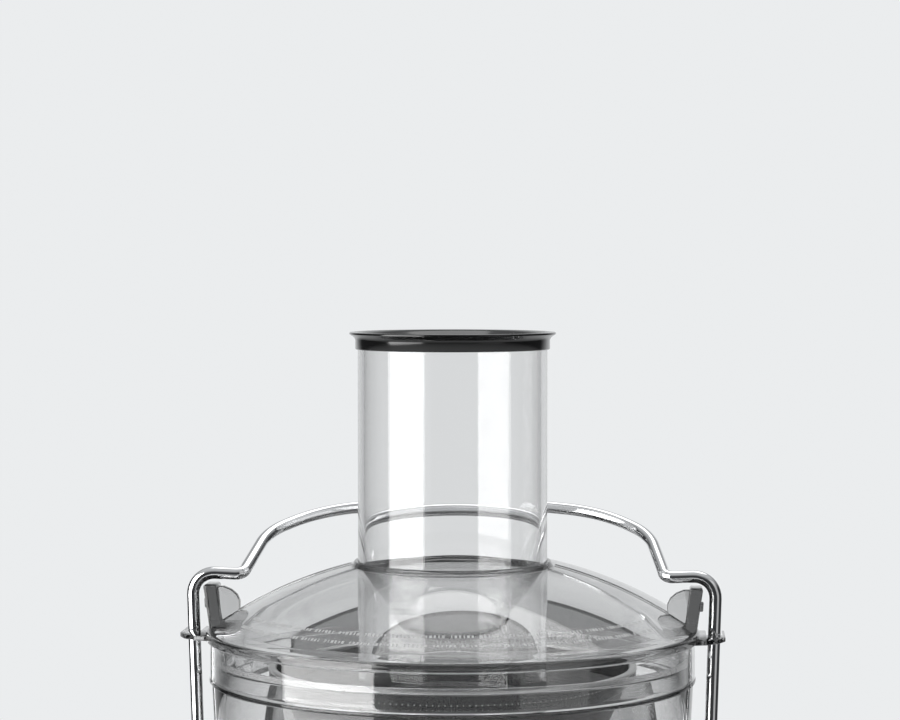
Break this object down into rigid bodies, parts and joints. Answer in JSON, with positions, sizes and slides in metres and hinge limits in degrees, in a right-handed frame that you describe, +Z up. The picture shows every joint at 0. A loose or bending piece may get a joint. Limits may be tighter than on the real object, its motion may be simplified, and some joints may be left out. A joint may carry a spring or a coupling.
{
  "type": "centrifugal juicer",
  "caption": "Centrifugal juicer with a wide clear feed chute, clear lid and bowl, spinning filter basket, chromed locking arm, steel motor base and a rear pulp container.",
  "frame": {"origin": "middle of the juicer's outline, on the surface that it stands on", "axes": "+Z up along the spindle; the front with the speed dial faces -Y; the pulp container is at +Y"},
  "size_m": [0.258, 0.2895, 0.413],
  "materials": {
    "clear_plastic": "clear moulded plastic, glossy",
    "smoke_plastic": "lightly smoked clear plastic",
    "black_gloss": "glossy black plastic",
    "black_matte": "fine-grained black plastic",
    "chrome": "polished chrome plate",
    "brushed": "brushed stainless steel",
    "mesh_steel": "fine perforated stainless steel",
    "rubber": "soft black rubber",
    "grey_plastic": "grey moulded plastic",
    "machined_steel": "turned steel",
    "lamination": "stacked steel laminations",
    "copper": "enamelled copper wire",
    "aluminium": "die-cast aluminium",
    "board": "green circuit board"
  },
  "bodies": {
    "base": {"feed_chute": "clear_plastic", "chute_rim": "black_gloss", "lid": "clear_plastic", "splash_guard": "smoke_plastic", "filter_bowl": "clear_plastic", "juice_nozzle": "smoke_plastic", "lid_seal": "clear_plastic", "lower_bracket": "aluminium", "upper_bracket": "aluminium", "motor_bolts": "machined_steel", "motor_mounts": "rubber", "motor_stator": "lamination", "field_coils": "copper", "brush_holders": "copper", "base_housing": "brushed", "base_top": "black_matte", "spindle_seal": "rubber", "base_plate": "black_matte", "feet": "rubber", "base_screws": "machined_steel", "dial_bezel": "chrome", "rotary_switch": "grey_plastic", "circuit_board": "board", "arm_brackets": "black_matte", "pivot_pins": "chrome", "interlock_switch": "grey_plastic", "cord_gland": "rubber", "lower_bearing": "machined_steel", "upper_bearing": "machined_steel"},
    "arm": {"locking_arm": "chrome"},
    "dial": {"control_dial": "black_matte"},
    "spinner": {"basket_mesh": "mesh_steel", "basket_band": "black_gloss", "basket_rim": "brushed", "basket_base": "black_matte", "cutting_disc": "mesh_steel", "disc_cap": "black_gloss", "basket_screws": "machined_steel", "drive_coupling": "grey_plastic", "motor_shaft": "machined_steel", "motor_rotor": "lamination", "commutator": "copper", "cooling_fan": "black_matte"},
    "container": {"pulp_container": "smoke_plastic"}
  },
  "joints": [
    {"name": "arm_swing", "type": "hinge", "parent": "base", "child": "arm", "pos_m": [0, -0.02776, 0.088], "axis": [-1, 0, 0], "range_deg": [0, 34]},
    {"name": "dial_turn", "type": "hinge", "parent": "base", "child": "dial", "pos_m": [0, -0.12576, 0.075], "axis": [0, 1, 0], "range_deg": [0, 240]},
    {"name": "basket_spin", "type": "hinge", "parent": "base", "child": "spinner", "pos_m": [0, -0.02776, 0.2], "axis": [0, 0, 1], "continuous": true},
    {"name": "container_slide", "type": "slide", "parent": "base", "child": "container", "axis": [0, 1, 0], "range_m": [0, 0.12]}
  ]
}
